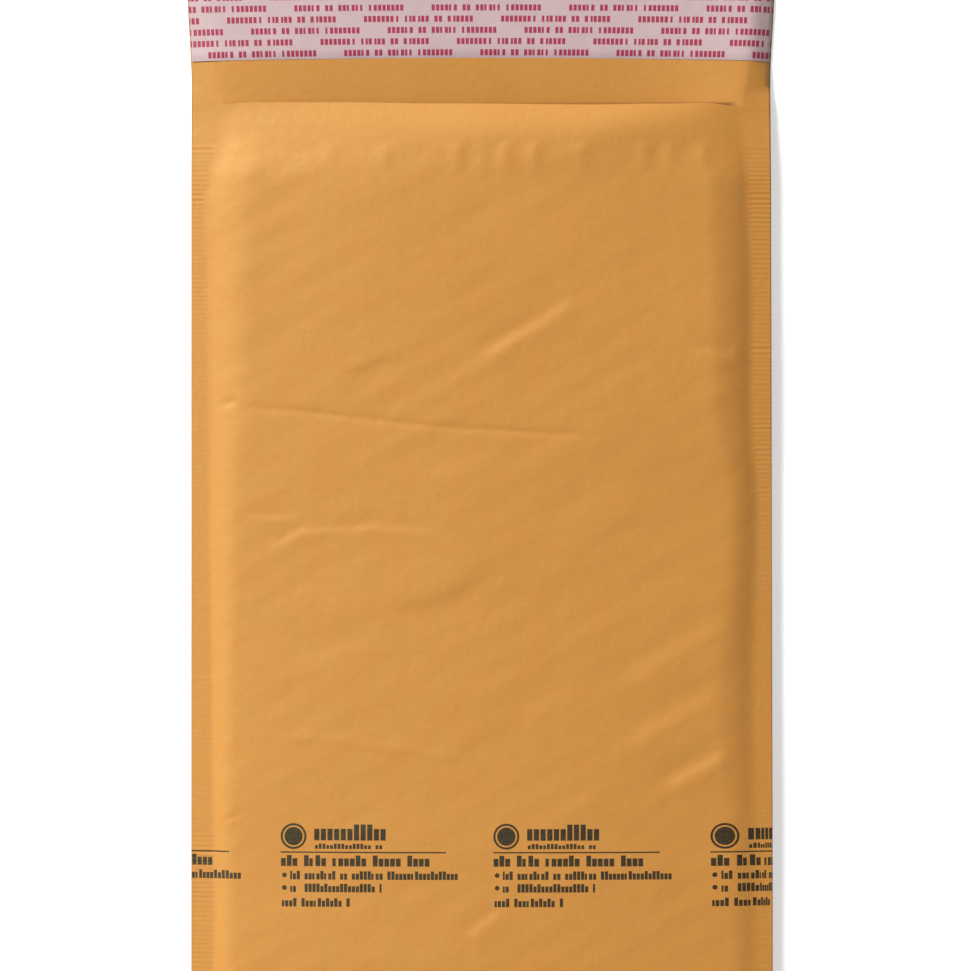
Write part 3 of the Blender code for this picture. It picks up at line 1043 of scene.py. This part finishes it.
def adhesive_material():
    """Tacky, slightly cloudy adhesive."""
    nodes = Nodes("adhesive")
    x, s = nodes.sheet()
    haze = nodes.noise(nodes.point(x, s), 0.8, 4.0)
    tone = nodes.mix(haze, *ADHESIVE_COLOURS)
    nodes.shade("Base Color", tone)
    nodes.shade("Roughness", 0.25)
    nodes.shade("Normal", nodes.bump(haze, 0.0002))
    return nodes.material


def make_kraft():
    """The kraft sheet: front, fold, back and flap."""
    blank = make_blank(blank_columns(), sheet_rows())
    cut_creases(blank)
    cut_seams(blank)
    mesh = mesh_from_blank("kraft_sheet", blank, layer_points, constant(0.0), constant(PAPER))
    add_piece("kraft_sheet", mesh, kraft_material(), "kraft_envelope")


def strip_blank(start_y, end_y, edge_inset, cell):
    """The blank of a strip across the flap."""
    half = HALF_WIDTH - edge_inset
    columns = steps(-half, half, cell) + [half]
    start = FLAP_RUN + start_y - MOUTH_Y
    end = FLAP_RUN + end_y - MOUTH_Y
    return make_blank(columns, steps(start, end, cell) + [end])


def liner_points(x, s, depth):
    """Points of the release liner: its edge bows, and its lower left corner has come loose."""
    up = (s - FLAP_RUN) / MM - (LINER_LOW[1] - MOUTH_Y) / MM
    points = layer_points(x, s, depth)
    points[:, 2] -= LINER_PRESS * smooth(1.0 - up / LINER_PRESS_WIDTH)
    width, height = LINER_LOOSE_SIZE
    loose = smooth((-x / MM - LINER_LOOSE_FROM) / width) * smooth((height - up) / height)
    points[:, 2] += LINER_LIFT * loose
    bow = LINER_BOW * (1.0 - (x / HALF_WIDTH) ** 2) + LINER_BOW_ENDS
    points[:, 1] += bow * (1.0 - LINER_BOW_LOST * up / LINER_WIDTH_MM)
    return points


def make_strips():
    """The adhesive on the flap, and the liner over it."""
    start = ADHESIVE_LOW[1] + ADHESIVE_EASE
    blank = strip_blank(start, ADHESIVE_HIGH[1], ADHESIVE_EDGE_INSET, ADHESIVE_CELL)
    mesh = mesh_from_blank("adhesive_band", blank, layer_points, *map(constant, ADHESIVE_DEPTHS))
    add_piece("adhesive_band", mesh, adhesive_material(), "adhesive_strip")
    blank = strip_blank(LINER_LOW[1], LINER_HIGH[1], LINER_EDGE_INSET, LINER_CELL)
    mesh = mesh_from_blank("peel_liner", blank, liner_points, *map(constant, LINER_DEPTHS))
    add_piece("peel_liner", mesh, liner_material(), "release_liner")


def lining_room(half):
    """How far inside the bag's outside the bubbles' tops lie."""
    return PAPER + np.minimum(LINING_GAP, LINING_GAP_SHARE * (half - PAPER))


def lining_face(half):
    """How far inside the bag's outside the film's smooth face lies."""
    top = lining_room(half)
    return top + np.minimum(LINING_DEPTH, LINING_DEPTH_SHARE * (half - top))


def film_back(half):
    """The side of the smooth film that carries the bubbles."""
    face = lining_face(half)
    return face - np.minimum(FILM_THICKNESS, FILM_SHARE * (face - lining_room(half)))


def bubble_sites():
    """X and distance along the blank of each bubble's centre."""
    rows = int(FLAP_RUN / BUBBLE_PITCH) + 2
    last = FLAP_RUN - LINING_INSET - 0.5 * BUBBLE_PITCH
    columns = int(HALF_WIDTH / BUBBLE_COLUMN) + 1
    sites = []
    for column in range(-columns, columns + 1):
        for row in range(rows):
            s = LINING_INSET + BUBBLE_PITCH * (row + 0.52 + 0.5 * (column % 2))
            x = column * BUBBLE_COLUMN
            if abs(x) < SEAM_X - BUBBLES_FROM_SEAM and s < last:
                sites.append((x, s))
    return np.array(sites)


def bubble_rings(sites, sides):
    """Each bubble as rings of points on the blank, with a share of the lining's depth."""
    turn = np.arange(sides) * 2 * math.pi / sides
    xs, ss, shares = [], [], []
    for radius, share in BUBBLE_RINGS:
        xs.append(sites[:, :1] + radius * MM * np.cos(turn))
        ss.append(sites[:, 1:] + radius * MM * np.sin(turn))
        shares.append(np.full((len(sites), sides), share))
    xs.append(sites[:, :1])
    ss.append(sites[:, 1:])
    shares.append(np.ones((len(sites), 1)))
    return np.hstack(xs), np.hstack(ss), np.hstack(shares)


def bubble_faces(sides, rings):
    """The faces of one bubble: its walls, its top and its flat base."""
    faces = []
    for ring in range(rings - 1):
        for k in range(sides):
            a = ring * sides + k
            b = ring * sides + (k + 1) % sides
            faces.append((a, b, b + sides, a + sides))
    top = rings * sides
    last = (rings - 1) * sides
    faces += [(last + k, last + (k + 1) % sides, top) for k in range(sides)]
    faces.append(tuple(reversed(range(sides))))
    return faces


def unlined_points(x, s, depth):
    """Points of a layer that the seams' pressed lines don't reach."""
    return layer_points(x, s, depth, 0.0)


def make_lining():
    """The bubble film: a smooth sheet whose bubbles stand towards the paper."""
    half = steps(HALF_WIDTH - LINING_EDGE_INSET, SEAM_X, FILM_SEAM_CELL)
    half += steps(SEAM_X, SEAM_X - SHOULDER_WIDTH, FILM_SHOULDER_CELL)
    half += steps(SEAM_X - SHOULDER_WIDTH, 0.0, FILM_BODY_CELL)
    columns = [-x for x in half] + [0.0] + half[::-1]
    rows = steps(LINING_INSET, FRONT_RUN, FILM_FRONT_CELL)
    rows += steps(FRONT_RUN, BACK_RUN, FOLD_CELL)
    last_row = FLAP_RUN - LINING_INSET
    rows += steps(BACK_RUN, last_row, FILM_BACK_CELL) + [last_row]
    blank = make_blank(columns, rows)
    mesh = mesh_from_blank("bubble_film", blank, unlined_points, film_back, lining_face)
    sites = bubble_sites()
    xs, ss, shares = bubble_rings(sites, BUBBLE_SIDES)

    def depth(half):
        base = film_back(half)
        return base + (lining_room(half) - base) * shares.ravel()

    points = unlined_points(xs.ravel(), ss.ravel(), depth)
    each = xs.shape[1]
    one = bubble_faces(BUBBLE_SIDES, len(BUBBLE_RINGS))
    faces = [tuple(i + each * site for i in face) for site in range(len(sites)) for face in one]
    domes = bpy.data.meshes.new("domes")
    domes.from_pydata(points.tolist(), [], faces)
    both = bmesh.new()
    both.from_mesh(mesh)
    both.from_mesh(domes)
    bmesh.ops.recalc_face_normals(both, faces=both.faces[:])
    both.to_mesh(mesh)
    both.free()
    bpy.data.meshes.remove(domes)
    mesh.shade_smooth()
    mesh.set_sharp_from_angle(angle=math.radians(50))
    add_piece("bubble_film", mesh, film_material(), "bubble_lining")


# The photograph's view: its width in metres at the seams' height, and what it is centred on
VIEW_WIDTH = 308.5 * MM
VIEW_X = 1.3 * MM
VIEW_BELOW_MOUTH = 121.4 * MM
CAMERA_HEIGHT = 1.5

# The lamp: the direction it is seen in, its strength and its breadth in radians; and the surround
LAMP_TOWARDS = (-0.600, 0.520, 0.608)
LAMP_STRENGTH = 4.87
LAMP_ANGLE = 0.50
WORLD_STRENGTH = 0.225

# The table is nearly white, and glows a little to the camera alone
TABLE_REACH = 3.0
TABLE_COLOUR = (0.92, 0.92, 0.92, 1)
TABLE_GLOW = 0.50


def make_camera():
    """A camera straight above the mailer."""
    camera = bpy.data.cameras.new("camera")
    camera.sensor_width = 36.0
    camera.lens = camera.sensor_width * (CAMERA_HEIGHT - SEAM_HEIGHT) / VIEW_WIDTH
    camera.clip_end = 20.0
    holder = bpy.data.objects.new("camera", camera)
    holder.location = (VIEW_X, MOUTH_Y - VIEW_BELOW_MOUTH, CAMERA_HEIGHT)
    bpy.context.scene.collection.objects.link(holder)
    bpy.context.scene.camera = holder


def make_lamp():
    """A broad, far lamp, beyond the mailer's upper left corner."""
    lamp = bpy.data.lights.new("key", "SUN")
    lamp.energy = LAMP_STRENGTH
    lamp.angle = LAMP_ANGLE
    holder = bpy.data.objects.new("key", lamp)
    holder.rotation_euler = Vector(LAMP_TOWARDS).to_track_quat("Z", "Y").to_euler()
    bpy.context.scene.collection.objects.link(holder)


def make_floor():
    """A white table that shows as white and keeps the mailer's shadow."""
    mesh = bpy.data.meshes.new("table")
    grid = bmesh.new()
    bmesh.ops.create_grid(grid, x_segments=4, y_segments=4, size=TABLE_REACH)
    grid.to_mesh(mesh)
    grid.free()
    nodes = Nodes("white_table")
    nodes.shade("Base Color", TABLE_COLOUR)
    nodes.shade("Roughness", 0.9)
    nodes.shade("Emission Color", (1, 1, 1, 1))
    rays = nodes.tree.nodes.new("ShaderNodeLightPath")
    glow = nodes.math("MULTIPLY", rays.outputs["Is Camera Ray"], TABLE_GLOW)
    nodes.shade("Emission Strength", glow)
    mesh.materials.append(nodes.material)
    table = bpy.data.objects.new("table", mesh)
    bpy.context.scene.collection.objects.link(table)


def make_world():
    """A plain white surround, dim enough to leave the lamp's shading."""
    world = bpy.data.worlds.new("studio")
    bpy.context.scene.world = world
    world.use_nodes = True
    back = world.node_tree.nodes["Background"]
    back.inputs["Color"].default_value = (1, 1, 1, 1)
    back.inputs["Strength"].default_value = WORLD_STRENGTH


make_camera()
make_world()
make_floor()
make_lamp()
make_kraft()
make_strips()
make_lining()
bpy.context.scene.view_settings.view_transform = "Standard"
